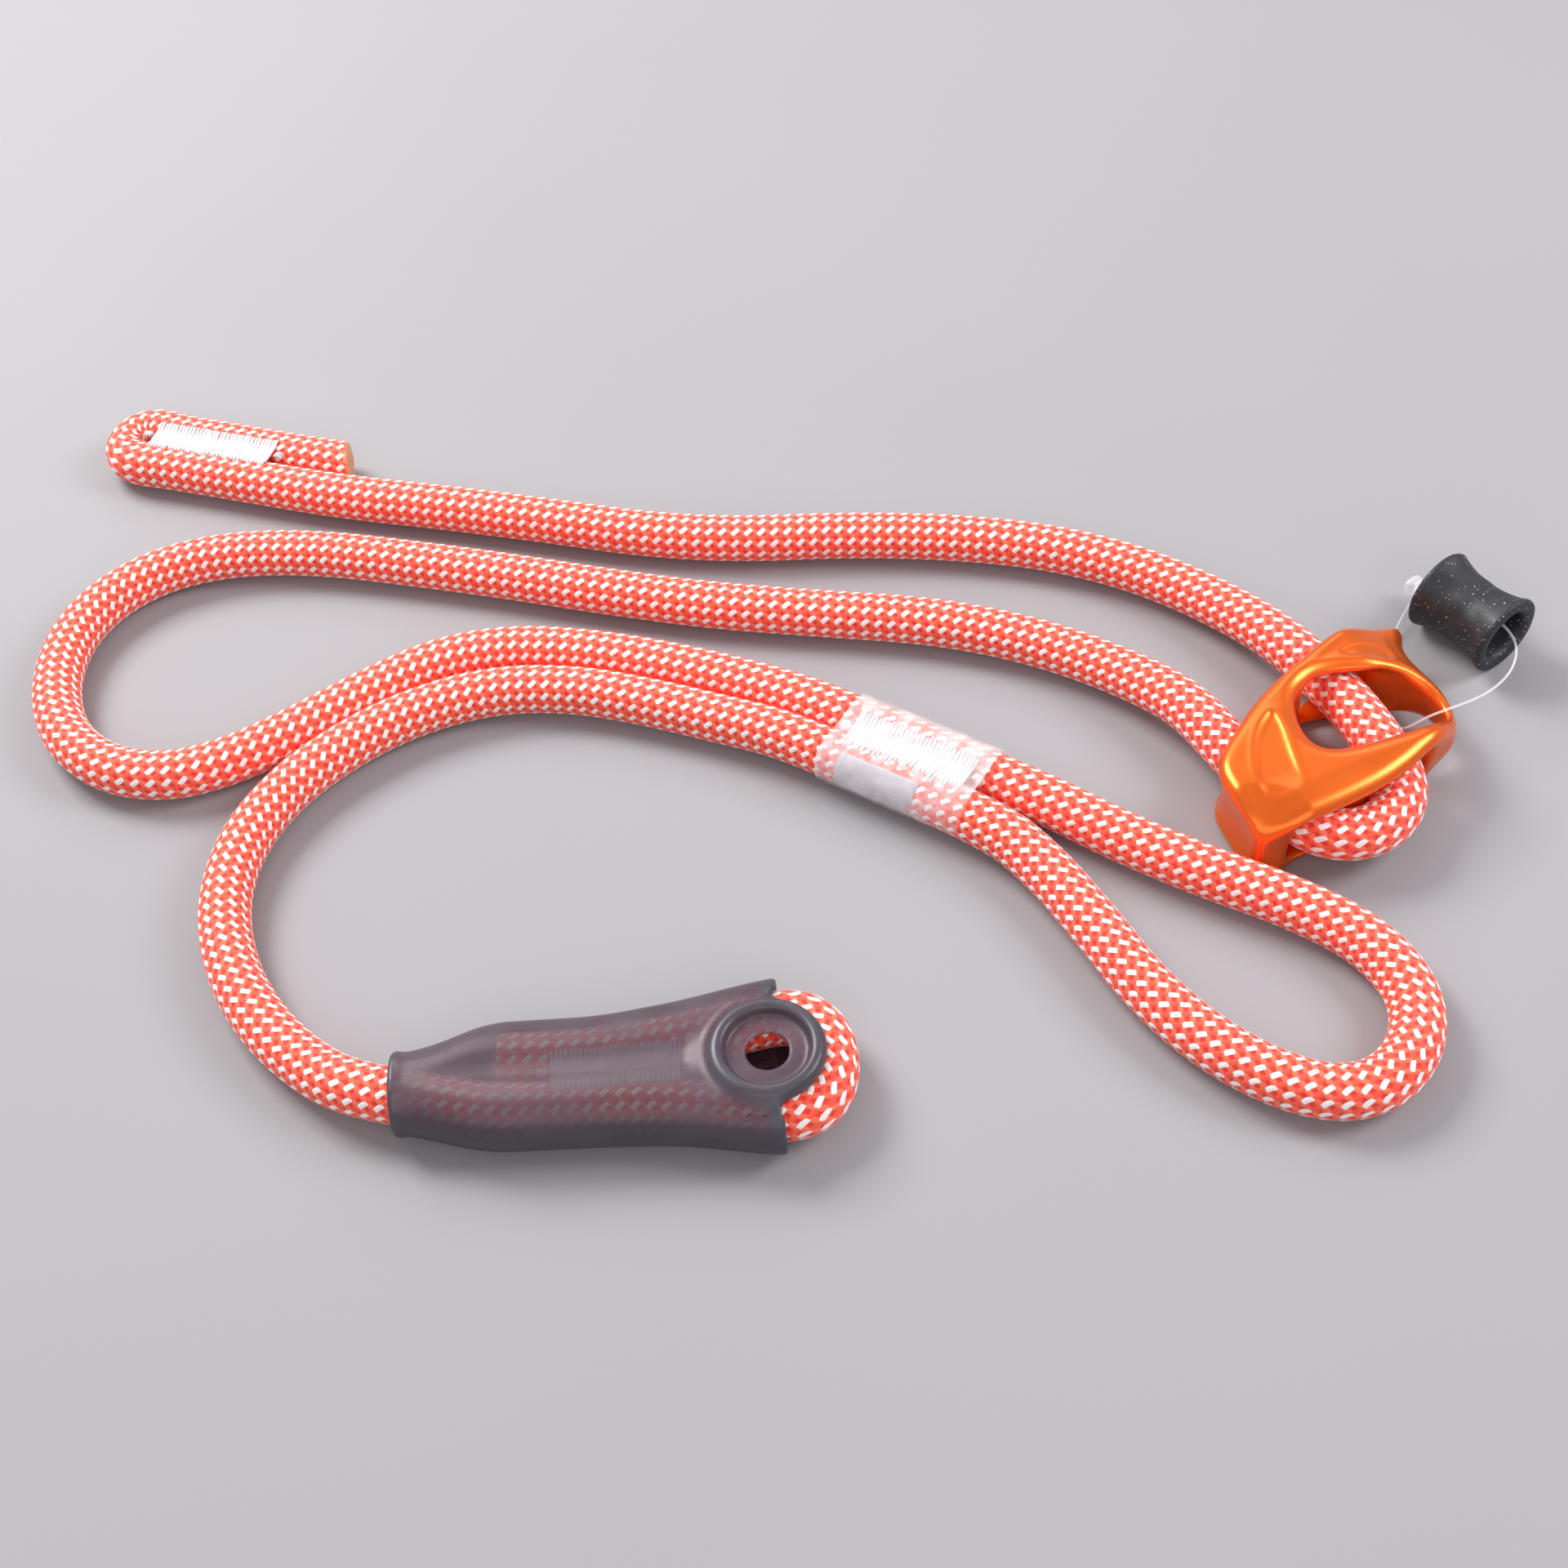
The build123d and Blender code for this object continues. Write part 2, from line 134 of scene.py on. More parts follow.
TAIL = [
    in_adjuster(13.9, 32, 9), in_adjuster(13.2, 39, 8.825), (107, 12.6, 7.2), (96, 24.4, 5.9),
    (82, 34.6, 5.5), (64, 42.6, 5.5), (42, 48, 5.5), (18, 51.2, 5.5), (-6, 52.4, 5.5),
    (-29, 56.8, 5.5), (-53, 64.6, 5.5), (-78, 72, 5.5), (-104, 79, 5.5), (-128, 87.6, 5.5),
    (-148.6, 95, 5.5), (-158.3, 97.8, 5.5), (-160.9, 102.9, 5.5), (-158.9, 108.2, 5.5),
    (-153.6, 110.4, 5.5), (-144.6, 105.9, 5.5), (-133.9, 102.2, 5.5), (-122, 97.6, 5.5),
    (-102.8, 91, 5.5),
]
NYLON = [
    (149.4, 17.2, 4.6), (152.4, 12.9, 5.2), (157, 6, 9.6), (161.4, -0.4, 12.6), (163.2, -7.6, 12.4),
    (160, -14.8, 12.2), (154, -20.6, 13), (147.4, -25.4, 15.4), (141.6, -28.6, 17.2),
    (136.8, -29, 15.4), (134.4, -26, 8.4), (133.4, -19.5, 2), (133.6, -11, 1.3), (137.6, 0, 1.3),
    (142, 9.4, 1.6), (145.6, 14.6, 3), (148.6, 17.6, 4.4),
]


def route_line(points):
    """Points along the NURBS spline through a route, in metres, evenly spaced."""
    data = bpy.data.curves.new("route", "CURVE")
    data.dimensions = "3D"
    spline = data.splines.new("NURBS")
    spline.points.add(len(points) - 1)
    for point, place in zip(spline.points, points):
        point.co = (place[0] * MM, place[1] * MM, place[2] * MM, 1)
    spline.order_u = 3
    spline.use_endpoint_u = True
    spline.resolution_u = 32
    holder = bpy.data.objects.new("route", data)
    mesh = bpy.data.meshes.new_from_object(holder)
    line = np.array([vertex.co[:] for vertex in mesh.vertices])
    bpy.data.objects.remove(holder)
    bpy.data.curves.remove(data)
    bpy.data.meshes.remove(mesh)
    return line


def arc_lengths(line):
    """Distance along a line at each of its points."""
    return np.concatenate([[0], np.cumsum(np.linalg.norm(np.diff(line, axis=0), axis=1))])


def spaced(line, step):
    """The line at even steps, with unit tangents."""
    along = arc_lengths(line)
    count = max(2, round(along[-1] / step) + 1)
    at = np.linspace(0, along[-1], count)
    places = np.stack([np.interp(at, along, line[:, k]) for k in range(3)], 1)
    tangents = np.gradient(places, axis=0)
    tangents /= np.linalg.norm(tangents, axis=1)[:, None]
    return places, tangents, at


# ---------------------------------------------------------------- mesh helpers


def mesh_piece(name, verts, faces, material, body=None, nodes=(), smooth=True):
    """A mesh object in the row frame, riding on a body and standing for CAD nodes."""
    mesh = bpy.data.meshes.new(name)
    mesh.from_pydata([tuple(v) for v in verts], [], [tuple(f) for f in faces])
    mesh.update()
    if smooth:
        mesh.shade_smooth()
    piece = bpy.data.objects.new(name, mesh)
    bpy.context.collection.objects.link(piece)
    mesh.materials.append(material)
    if body:
        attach(piece, body)
    if nodes:
        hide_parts(*nodes)
    return piece


def ring_faces(rings, around, closed_ends=False):
    """Quads between rings of points, and a fan of the first and last ring if asked."""
    faces = []
    for i in range(rings - 1):
        a, b = i * around, (i + 1) * around
        for j in range(around):
            k = (j + 1) % around
            faces.append((a + j, a + k, b + k, b + j))
    if closed_ends:
        faces.append(tuple(reversed(range(around))))
        faces.append(tuple(range((rings - 1) * around, rings * around)))
    return faces


def joined_ends(rings, around):
    """Quads that join the last ring of points to the first."""
    last = (rings - 1) * around
    return [(last + j, last + (j + 1) % around, (j + 1) % around, j) for j in range(around)]


def turned_over(faces):
    """The same faces, seen from their other side."""
    return [tuple(reversed(face)) for face in faces]


def corner_verts(piece):
    """The vertex at each face corner of a piece."""
    found = np.zeros(len(piece.data.loops), dtype=int)
    piece.data.loops.foreach_get("vertex_index", found)
    return found


def add_uv(piece, name, u, v):
    """A UV layer from a u and a v for each face corner."""
    coordinates = np.zeros((len(u), 2))
    coordinates[:, 0] = u
    coordinates[:, 1] = v
    piece.data.uv_layers.new(name=name).data.foreach_set("uv", coordinates.ravel())


def tube(line, radius, around=12, step=0.5 * MM):
    """Rings round a line, and how many, with up kept near +Z where it can be."""
    places, tangents, _ = spaced(line, step)
    up = np.array([0, 0, 1.0])
    first = np.cross(up, tangents[0])
    side = first / np.linalg.norm(first)
    rings = []
    for place, tangent in zip(places, tangents):
        side = side - tangent * side.dot(tangent)
        side /= np.linalg.norm(side)
        top = np.cross(tangent, side)
        for j in range(around):
            a = 2 * math.pi * j / around
            rings.append(place + radius * (math.cos(a) * side + math.sin(a) * top))
    return rings, len(places)


# ---------------------------------------------------------------- materials


class Tree:
    """Short way to write node maths."""

    def __init__(self, name):
        self.material = bpy.data.materials.new(name)
        self.material.use_nodes = True
        self.nodes = self.material.node_tree.nodes
        self.links = self.material.node_tree.links
        self.shader = self.nodes["Principled BSDF"]

    def node(self, kind, **settings):
        made = self.nodes.new(kind)
        for key, value in settings.items():
            setattr(made, key, value)
        return made

    def put(self, socket, value):
        """Links an output to a socket, or sets the socket's own value."""
        if hasattr(value, "is_output"):
            self.links.new(value, socket)
        else:
            socket.default_value = value

    def math(self, operation, *values):
        made = self.node("ShaderNodeMath", operation=operation)
        for socket, value in zip(made.inputs, values):
            self.put(socket, value)
        return made.outputs[0]

    def ramp(self, value, low, high, out_low=0.0, out_high=1.0):
        """A smooth step from out_low at low to out_high at high."""
        made = self.node("ShaderNodeMapRange", interpolation_type="SMOOTHSTEP")
        for socket, item in zip(made.inputs, (value, low, high, out_low, out_high)):
            self.put(socket, item)
        return made.outputs[0]

    def mix(self, factor, a, b):
        made = self.node("ShaderNodeMix", data_type="RGBA")
        self.put(made.inputs[0], factor)
        self.put(made.inputs[6], a)
        self.put(made.inputs[7], b)
        return made.outputs[2]

    def noise(self, scale, detail=3.0, roughness=0.5):
        made = self.node("ShaderNodeTexNoise")
        coordinates = self.node("ShaderNodeTexCoord")
        self.put(made.inputs["Vector"], coordinates.outputs["Object"])
        self.put(made.inputs["Scale"], scale)
        self.put(made.inputs["Detail"], detail)
        self.put(made.inputs["Roughness"], roughness)
        return made.outputs[0]

    def uv(self, name):
        """The u and v of a UV layer."""
        made = self.node("ShaderNodeUVMap", uv_map=name)
        split = self.node("ShaderNodeSeparateXYZ")
        self.put(split.inputs[0], made.outputs[0])
        return split.outputs[0], split.outputs[1]

    def bump(self, height, distance, strength):
        made = self.node("ShaderNodeBump")
        self.put(made.inputs["Strength"], strength)
        self.put(made.inputs["Distance"], distance)
        self.put(made.inputs["Height"], height)
        self.put(self.shader.inputs["Normal"], made.outputs[0])

    def set(self, **values):
        """Sets the shader's inputs, with _ for each space in a name."""
        for key, value in values.items():
            self.put(self.shader.inputs[key.replace("_", " ")], value)


def srgb(r, g, b):
    """A linear colour from sRGB values out of 255."""
    linear = [((c / 255 + 0.055) / 1.055) ** 2.4 if c > 10 else c / 255 / 12.92 for c in (r, g, b)]
    return (*linear, 1)


BRAID_ALONG = 3.07 * MM
BRAID_ROWS = 12
FLOAT_LONG = 0.58
FLOAT_WIDE = 0.32
FLOAT_POWER = 2.5
TICK_EDGE = 0.23
FIBRES = 9


def braid_height(u, v):
    """Height of the braid, 0 to 1, over cells u along and v around."""
    height = np.zeros_like(u)
    for shift, swap in ((0, False), (0.5, True)):
        m, n = u + v + shift, u - v + shift
        m, n = m - np.round(m), n - np.round(n)
        if swap:
            m, n = n, m
        round_over = (np.abs(m) / FLOAT_LONG) ** FLOAT_POWER + (np.abs(n) / FLOAT_WIDE) ** FLOAT_POWER
        height = np.maximum(height, np.clip(1 - round_over, 0, 1) ** 0.6)
    return height


def braid_material():
    """Crossing floats of red yarn, with every second float of one family white. The red has painted shade in
    the hollows between floats and painted sheen streaks on their crowns.
    """
    tree = Tree("braided_sheath")
    math_ = tree.math
    u, v = tree.uv("braid")
    total, spread = math_("ADD", u, v), math_("SUBTRACT", u, v)

    def over(shift, swap):
        m, n = math_("ADD", total, shift), math_("ADD", spread, shift)
        whole_m, whole_n = math_("ROUND", m), math_("ROUND", n)
        m, n = math_("SUBTRACT", m, whole_m), math_("SUBTRACT", n, whole_n)
        long_way, wide_way = (n, m) if swap else (m, n)
        parts = [
            math_("POWER", math_("DIVIDE", math_("ABSOLUTE", way), size), FLOAT_POWER)
            for way, size in ((long_way, FLOAT_LONG), (wide_way, FLOAT_WIDE))
        ]
        height = math_("SUBTRACT", 1.0, math_("ADD", *parts))
        return height, wide_way, math_("ADD", whole_m, whole_n)

    white_height, white_across, whole = over(0.0, False)
    red_height, red_across, _ = over(0.5, True)
    even = math_("LESS_THAN", math_("FRACT", math_("MULTIPLY", whole, 0.5)), 0.25)
    slim = tree.ramp(white_across, TICK_EDGE - 0.02, TICK_EDGE + 0.02, 1.0, 0.0)
    tick = math_("MULTIPLY", math_("MULTIPLY", even, slim), tree.ramp(white_height, 0.06, 0.18))
    height = math_("MAXIMUM", math_("MAXIMUM", white_height, red_height), 0.0)
    across = tree.mix(math_("GREATER_THAN", red_height, white_height), white_across, red_across)
    fibre = math_("SINE", math_("MULTIPLY", across, 2 * math.pi * FIBRES))
    fibre = math_("ADD", math_("MULTIPLY", fibre, 0.5), 0.5)
    drift = tree.noise(900, 3)
    # Painted shade: the red is darker in the hollows between floats and lighter on their raised crowns.
    red = tree.mix(tree.ramp(height, 0.0, 0.55), srgb(238, 50, 34), srgb(255, 84, 58))
    # Painted highlight: pale orange sheen streaks along the fibres on the raised crowns of the red floats.
    painted_fibre_sheen = math_("MULTIPLY", fibre, tree.ramp(red_height, 0.15, 0.7, 0.0, 0.75))
    red = tree.mix(painted_fibre_sheen, red, srgb(255, 150, 110))
    red = tree.mix(tree.ramp(drift, 0.35, 0.75, 0.0, 0.3), red, srgb(240, 48, 38))
    white = tree.mix(fibre, srgb(255, 250, 248), srgb(238, 226, 224))
    tree.set(
        Base_Color=tree.mix(tick, red, white),
        Roughness=0.62,
        Sheen_Weight=0.35,
        Sheen_Roughness=0.4,
    )
    relief = math_("ADD", math_("POWER", height, 0.5), math_("MULTIPLY", fibre, 0.14))
    tree.bump(relief, 0.24 * MM, 0.8)
    return tree.material


def thread_material():
    tree = Tree("white_thread")
    fine = tree.noise(2600, 2)
    tree.set(
        Base_Color=tree.mix(fine, srgb(196, 190, 194), srgb(224, 221, 222)),
        Roughness=0.6,
        Sheen_Weight=0.15,
    )
    tree.bump(fine, 0.05 * MM, 0.4)
    return tree.material


def melted_material():
    tree = Tree("melted_end")
    spots = tree.noise(700, 4)
    tree.set(
        Base_Color=tree.mix(spots, srgb(186, 100, 56), srgb(228, 166, 116)),
        Roughness=tree.ramp(spots, 0.3, 0.7, 0.25, 0.5),
    )
    tree.bump(spots, 0.3 * MM, 0.6)
    return tree.material


def anodised_material():
    tree = Tree("orange_anodised")
    grain = tree.noise(5200, 2)
    cloud = tree.noise(60, 3)
    tree.set(
        Base_Color=tree.mix(cloud, srgb(246, 104, 18), srgb(252, 114, 26)),
        Metallic=0.78,
        Roughness=tree.ramp(cloud, 0.3, 0.7, 0.28, 0.34),
        Coat_Weight=0.35,
        Coat_Roughness=0.22,
    )
    tree.bump(grain, 0.03 * MM, 0.35)
    return tree.material


def sleeve_material():
    """Smoky see-through moulding, less so where its wall is thick."""
    tree = Tree("smoky_sleeve")
    cloud = tree.noise(70, 4)
    fine = tree.noise(1500, 2)
    thick, _ = tree.uv("wall")
    thin_wall = tree.mix(cloud, srgb(80, 56, 68), srgb(104, 84, 96))
    thin_cover = tree.ramp(cloud, 0.35, 0.68, 0.48, 0.62)
    tree.set(
        Base_Color=tree.mix(thick, thin_wall, srgb(66, 64, 74)),
        Roughness=tree.ramp(cloud, 0.3, 0.7, 0.32, 0.42),
        Alpha=tree.math("ADD", thin_cover, tree.math("MULTIPLY", thick, 0.3)),
        Specular_IOR_Level=0.6,
    )
    tree.bump(fine, 0.03 * MM, 0.5)
    return tree.material


def shrink_material():
    tree = Tree("clear_shrink")
    haze = tree.noise(260, 4)
    crease = tree.noise(500, 2)
    tree.set(
        Base_Color=(0.93, 0.91, 0.92, 1),
        Roughness=0.1,
        Alpha=tree.ramp(haze, 0.35, 0.75, 0.14, 0.4),
        Coat_Weight=0.6,
        Coat_Roughness=0.06,
    )
    tree.bump(crease, 0.08 * MM, 0.4)
    return tree.material


def label_material():
    tree = Tree("blank_label")
    fine = tree.noise(1200, 2)
    tree.set(Base_Color=tree.mix(fine, srgb(180, 172, 182), srgb(200, 193, 203)), Roughness=0.35)
    tree.bump(fine, 0.02 * MM, 0.4)
    return tree.material


def rubber_material():
    """Charcoal rubber with a few pale specks of dust."""
    tree = Tree("black_rubber")
    cloud = tree.noise(160, 5, 0.6)
    specks = tree.noise(1900, 1)
    dust = tree.ramp(specks, 0.7, 0.74)
    base = tree.mix(cloud, srgb(22, 22, 25), srgb(42, 42, 46))
    tree.set(
        Base_Color=tree.mix(tree.math("MULTIPLY", dust, 0.75), base, srgb(205, 205, 212)),
        Roughness=tree.ramp(cloud, 0.3, 0.7, 0.42, 0.62),
    )
    tree.bump(tree.noise(2200, 3), 0.05 * MM, 0.6)
    return tree.material


def nylon_material():
    tree = Tree("clear_nylon")
    fine = tree.noise(400, 2)
    tree.set(
        Base_Color=tree.mix(fine, (0.85, 0.86, 0.88, 1), (0.95, 0.95, 0.97, 1)),
        Roughness=0.12,
        Alpha=0.38,
        Coat_Weight=0.5,
    )
    tree.bump(fine, 0.02 * MM, 0.3)
    return tree.material


BRAID = braid_material()
THREAD = thread_material()
MELTED = melted_material()
ANODISED = anodised_material()
SLEEVE = sleeve_material()
SHRINK = shrink_material()
LABEL = label_material()
RUBBER = rubber_material()
NYLON_LOOK = nylon_material()

# ---------------------------------------------------------------- rope

SAMPLES = 6
AROUND = BRAID_ROWS * SAMPLES
RELIEF = 0.26 * MM
TAIL_SKEW = -0.38
SKEW_REACH = 14 * MM


def rope(name, points, stretches, start_cell=0.0, body=None, skew=0.0):
    """A braided tube that stands for CAD stretches. Its end is cut askew where skew says so.

    Returns the piece, its line and the braid cell that it ends on, where the next rope can go on.
    """
    line = route_line(points)
    places, tangents, along = spaced(line, BRAID_ALONG / SAMPLES)
    side = np.cross([0, 0, 1.0], tangents)
    side /= np.linalg.norm(side, axis=1)[:, None]
    top = np.cross(tangents, side)
    rows = np.arange(AROUND + 1) / SAMPLES
    angles = -2 * math.pi * rows / BRAID_ROWS
    cells = start_cell + along / BRAID_ALONG
    u, v = np.meshgrid(cells, rows[:-1], indexing="ij")
    radius = ROPE_R * MM - RELIEF + RELIEF * 1.1 * braid_height(u, v)
    verts = (
        places[:, None]
        + (radius * np.cos(angles[:-1]))[..., None] * side[:, None]
        + (radius * np.sin(angles[:-1]))[..., None] * top[:, None]
    )
    near_end = np.clip(1 - (along[-1] - along) / SKEW_REACH, 0, 1) ** 2
    slant = skew * near_end[:, None] * radius * np.cos(angles[:-1])
    verts = (verts + slant[..., None] * tangents[:, None]).reshape(-1, 3)
    faces = turned_over(ring_faces(len(places), AROUND, closed_ends=True))
    nodes = [f"{stretch}_{layer}" for stretch in stretches for layer in ("sheath", "core")]
    piece = mesh_piece(name, verts, faces, BRAID, body, nodes)
    ring, row = np.divmod(corner_verts(piece), AROUND)
    side_corners = (len(places) - 1) * AROUND * 4
    quad_rows = row[:side_corners].reshape(-1, 4)
    wrap = np.zeros(len(row), dtype=bool)
    wrap[:side_corners] = ((quad_rows == 0) & (quad_rows.max(1) == AROUND - 1)[:, None]).ravel()
    add_uv(piece, "braid", cells[ring], (row + np.where(wrap, AROUND, 0)) / SAMPLES)
    return piece, line, cells[-1]


fixed_arm, fixed_line, _ = rope(
    "rope_fixed_arm", FIXED_ARM + FIXED_EYE[1:], ["fixed_arm", "fixed_eye", "fixed_eye_return"],
    body="lanyard",
)

harness_eye, harness_line, cell = rope("rope_harness_eye", HARNESS_EYE, ["harness_eye"], body="lanyard")

arm, arm_line, cell = rope("rope_adjustable_arm", ADJUSTABLE_ARM, ["adjustable_arm", "arm_lead"], cell)
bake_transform(arm)

bight, bight_line, cell = rope("rope_bight", BIGHT, ["adjuster_bight"], cell, body="bight")

tail, tail_line, cell = rope("rope_tail", TAIL, ["tail", "stopper"], cell, skew=TAIL_SKEW)
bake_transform(tail)

# ---------------------------------------------------------------- sealed rope ends


def sealed_end(name, line, node, body, skew=0.0):
    """The melted face of a cut end: a shallow dish with a rolled rim."""
    end = line[-1]
    outward = line[-1] - line[-4]
    outward /= np.linalg.norm(outward)
    side = np.cross([0, 0, 1.0], outward)
    side /= np.linalg.norm(side)
    top = np.cross(outward, side)
    profile = [
        (5.1, -0.9), (5.4, -0.3), (5.4, 0.05), (5.2, 0.35), (4.8, 0.45),
        (4.2, 0.35), (3.4, 0.28), (2.2, 0.34), (0.9, 0.3),
    ]
    around = 48
    verts = []
    for radius, out in profile:
        for j in range(around):
            a = 2 * math.pi * j / around
            uneven = 1 + 0.02 * math.sin(3 * a + 1) + 0.012 * math.sin(7 * a)
            lump = 0.12 * math.sin(5 * a + radius * 2) + 0.08 * math.sin(2 * a)
            place = side * math.cos(a) * radius * uneven + top * math.sin(a) * radius * uneven
            slant = skew * radius * math.cos(a) * uneven
            verts.append(end + (place + outward * (out + slant + lump * (out > 0))) * MM)
    verts.append(end + outward * 0.28 * MM)
    faces = ring_faces(len(profile), around)
    base = (len(profile) - 1) * around
    faces += [(base + j, base + (j + 1) % around, len(verts) - 1) for j in range(around)]
    faces.append(tuple(reversed(range(around))))
    return mesh_piece(name, verts, faces, MELTED, body, [node])


sealed_end("sealed_end_tail", tail_line, "tail_end_seal", "tail", skew=TAIL_SKEW)
sealed_end("sealed_end_eye", fixed_line, "fixed_eye_end_seal", "lanyard")

# ---------------------------------------------------------------- stitching

STITCH_PITCH = 0.48
THREAD_R = 0.29
KNOT_THREAD_R = 0.4
MIDDLE_HEIGHT = 4.6


def stitches(name, start, along, across, length, width, gap, node, body, under=True, teeth=0.0):
    """Close rows of thread over two strands, gap apart, with a knot at each end of the block.

    Some rows reach further out by teeth, which gives the block its toothed edge.
    """
    start, along, across = (np.array(item, dtype=float) for item in (start, along, across))
    along /= np.linalg.norm(along)
    across /= np.linalg.norm(across)
    verts, faces = [], []

    def thread(places, radius):
        rings, rows = tube(np.array(places) * MM, radius * MM, 8, 0.6 * MM)
        base = len(verts)
        verts.extend(rings)
        faces.extend(tuple(k + base for k in face) for face in ring_faces(rows, 8, True))

    def crown(y):
        """Height of a row above the strands' middle, level where it spans from one strand to the other."""
        offset = min(abs(abs(y) - gap / 2), ROPE_R)
        return max(math.sqrt(ROPE_R**2 - offset**2), MIDDLE_HEIGHT if abs(y) < gap / 2 else 0) + 0.1

    for level in (1, -1) if under else (1,):
        for i in range(int(length / STITCH_PITCH)):
            tooth = teeth * (i % 7 in (2, 3, 4))
            reach = width / 2 + tooth + rng.uniform(-0.2, 0.2)
            other = width / 2 + teeth * 0.5 * (i % 5 in (1, 2)) + rng.uniform(-0.25, 0.25)
            lean = rng.uniform(-0.12, 0.12) + (0.14 if i % 2 else -0.14)
            lift = rng.uniform(0, 0.12)
            places = []
            for t in np.linspace(-1, 1, 15):
                y = t * (reach if t < 0 else other)
                z = crown(y) + lift - 1.5 * max(0, (abs(t) - 0.86) / 0.14) ** 2
                x = (i + 0.5) * STITCH_PITCH + lean * t
                lifted = np.array([0, 0, level * min(z, ROPE_R + 0.15)])
                places.append(start + along * x + across * y + lifted)
            thread(places, THREAD_R)
    for x, turn in ((-0.9, 1), (length + 0.8, -1)):
        for k in range(4):
            places = []
            for t in np.linspace(0, 1, 7):
                swing = 0.7 * math.sin(2.6 * t + 1.5 * k)
                rise = 4.3 + 0.5 * math.sin(math.pi * t) + 0.2 * k
                places.append(start + along * (x - turn * 1.8 * t) + across * swing + np.array([0, 0, rise]))
            thread(places, KNOT_THREAD_R)
    return mesh_piece(name, verts, faces, THREAD, body, [node])


harness_start = SHRINK_MIDDLE - SHRINK_X * (SHRINK_LENGTH / 2 - 3)
stitches(
    "stitches_harness", harness_start, SHRINK_X, SHRINK_Y, length=29, width=9.8, gap=STRAND_GAP,
    node="harness_stitching", body="lanyard", teeth=1.7,
)
stitches(
    "stitches_eye", (-49, -98.2, 7.3), (1, 0, 0), (0, 1, 0), length=25, width=10, gap=11.8,
    node="fixed_eye_stitching", body="lanyard",
)
# The stopper is folded back along this part of the tail.
fold_along = Vector(TAIL[13]) - Vector(TAIL[14])
stitches(
    "stitches_tail", (-152.2, 102.5, 5.5), fold_along, (-fold_along.y, fold_along.x, 0), length=33,
    width=9.4, gap=11.4, node="tail_stitching", body="tail", under=False, teeth=0.5,
)

# ---------------------------------------------------------------- shrink sleeve and label

SHRINK_OUTER_R = 6.3
SHRINK_INNER_R = 5.85
LABEL_LENGTH = 19
LABEL_OUTER_R = 5.72
LABEL_INNER_R = 5.58
LABEL_START_DEGREES = 112
LABEL_SWEEP_DEGREES = 103


def slot_ring(gap, radius, count):
    """Points round a slot outline, with the flats sunk a little between the strands."""
    points = []
    for j in range(count):
        a = 2 * math.pi * j / count
        x, y = math.cos(a), math.sin(a)
        middle = gap / 2 * math.tanh(3 * x)
        pinch = 0.5 * (1 - min(1, abs(x) * 1.6)) ** 2
        points.append((middle + radius * x, (radius - pinch) * y))
    return points


def shrink_tube():
    """A thin clear wall round both strands, with an uneven edge and faint waves."""
    start = np.array(SHRINK_MIDDLE - SHRINK_X * SHRINK_LENGTH / 2)
    x_dir, y_dir = np.array(SHRINK_X), np.array(SHRINK_Y)
    around, steps = 96, 60
    verts = []
    for radius, begin, finish in ((SHRINK_OUTER_R, 0, SHRINK_LENGTH), (SHRINK_INNER_R, SHRINK_LENGTH, 0)):
        for i in range(steps):
            x = begin + (finish - begin) * i / (steps - 1)
            for j, (y, z) in enumerate(slot_ring(STRAND_GAP, radius, around)):
                edge = 0.35 * math.sin(3 * 2 * math.pi * j / around + 1) * (1 - min(1, x / 3))
                wave = 0.04 * math.sin(x * 1.7 + j * 0.5) + 0.03 * math.sin(x * 3.1 - j * 0.23)
                place = start + x_dir * (x - edge * 0.5) + y_dir * y * (1 + wave / 12)
                verts.append((place + [0, 0, z - wave * (z > 0)]) * MM)
    faces = ring_faces(2 * steps, around) + joined_ends(2 * steps, around)
    return mesh_piece("shrink_tube", verts, faces, SHRINK, "lanyard", ["shrink_sleeve"])


def label_slip():
    """A thin slip laid over one strand, with its two faces joined round the rim."""
    start = np.array(SHRINK_MIDDLE - SHRINK_X * (SHRINK_LENGTH / 2 - 4.6))
    x_dir, y_dir = np.array(SHRINK_X), np.array(SHRINK_Y)
    steps, around = 20, 24
    verts = []
    for radius in (LABEL_OUTER_R, LABEL_INNER_R):
        for i in range(steps):
            for j in range(around):
                a = math.radians(LABEL_START_DEGREES + LABEL_SWEEP_DEGREES * j / (around - 1))
                x = LABEL_LENGTH * i / (steps - 1) + 0.15 * math.sin(j * 0.7)
                y, z = -STRAND_GAP / 2 + radius * math.cos(a), radius * math.sin(a)
                verts.append((start + x_dir * x + y_dir * y + [0, 0, z]) * MM)
    faces = []
    sheet = steps * around
    for i in range(steps - 1):
        for j in range(around - 1):
            a = i * around + j
            faces.append((a, a + 1, a + around + 1, a + around))
            faces.append((sheet + a, sheet + a + around, sheet + a + around + 1, sheet + a + 1))
    rim = list(range(around))
    rim += [i * around + around - 1 for i in range(1, steps)]
    rim += [(steps - 1) * around + j for j in range(around - 2, -1, -1)]
    rim += [i * around for i in range(steps - 2, 0, -1)]
    faces += [(b, a, sheet + a, sheet + b) for a, b in zip(rim, rim[1:] + rim[:1])]
    return mesh_piece("blank_label", verts, faces, LABEL, "lanyard", ["id_label"])


shrink_tube()
label_slip()

# ---------------------------------------------------------------- solids from distance fields


def smooth_max(a, b, k):
    """The greater of two fields, blended where they differ by less than k."""
    h = np.clip(0.5 + 0.5 * (a - b) / k, 0, 1)
    return b + (a - b) * h + k * h * (1 - h)


def smooth_min(a, b, k):
    return -smooth_max(-a, -b, k)


def fade(value, low, high):
    """0 below low, 1 above high, smooth between."""
    t = np.clip((value - low) / (high - low), 0, 1)
    return t * t * (3 - 2 * t)


